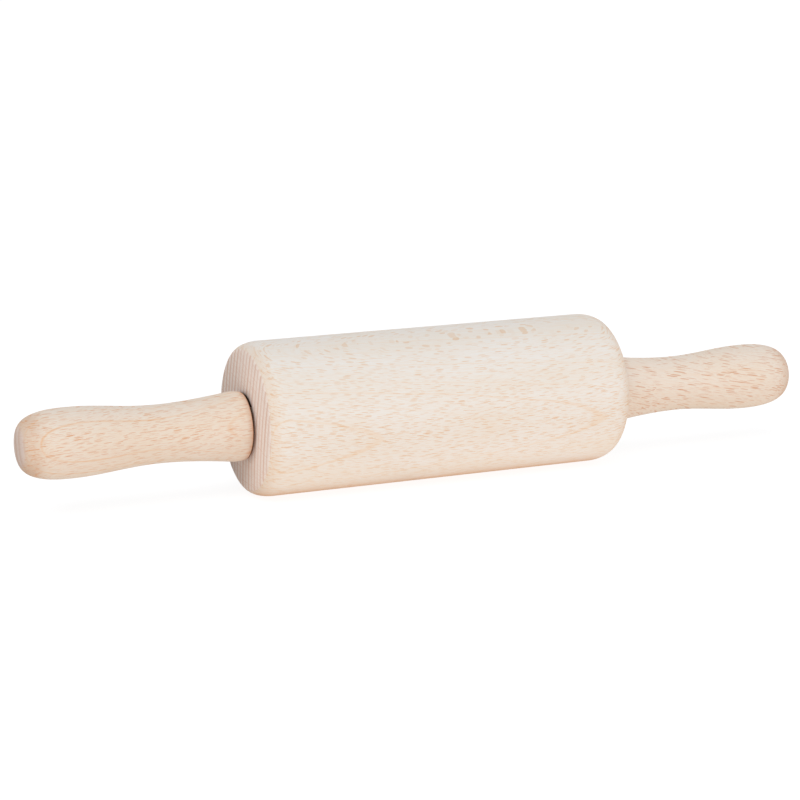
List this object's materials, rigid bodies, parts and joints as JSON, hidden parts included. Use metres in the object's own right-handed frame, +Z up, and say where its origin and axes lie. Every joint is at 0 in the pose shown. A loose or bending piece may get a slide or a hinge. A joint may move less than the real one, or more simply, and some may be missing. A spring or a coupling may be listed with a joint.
{
  "type": "rolling pin",
  "caption": "Small beech rolling pin: a bored wooden roller that spins freely on a loose wooden axle, with a turned, waisted handle glued on each end.",
  "frame": {"origin": "on the table, under the middle of the roller", "axes": "+X along the roller towards the right handle, +Z up"},
  "size_m": [0.2486, 0.045, 0.045],
  "materials": {
    "roller_beech": "pale untreated beech, finely sanded",
    "axle_beech": "plain beech dowel",
    "handle_beech": "untreated beech, turned and sanded"
  },
  "bodies": {
    "handle_set": {"axle": "axle_beech", "left_handle": "handle_beech", "right_handle": "handle_beech"},
    "roller": {"roller": "roller_beech"}
  },
  "joints": [
    {"name": "roller_spin", "type": "hinge", "parent": "handle_set", "child": "roller", "pos_m": [0, 0, 0.0225], "axis": [1, 0, 0], "continuous": true}
  ]
}
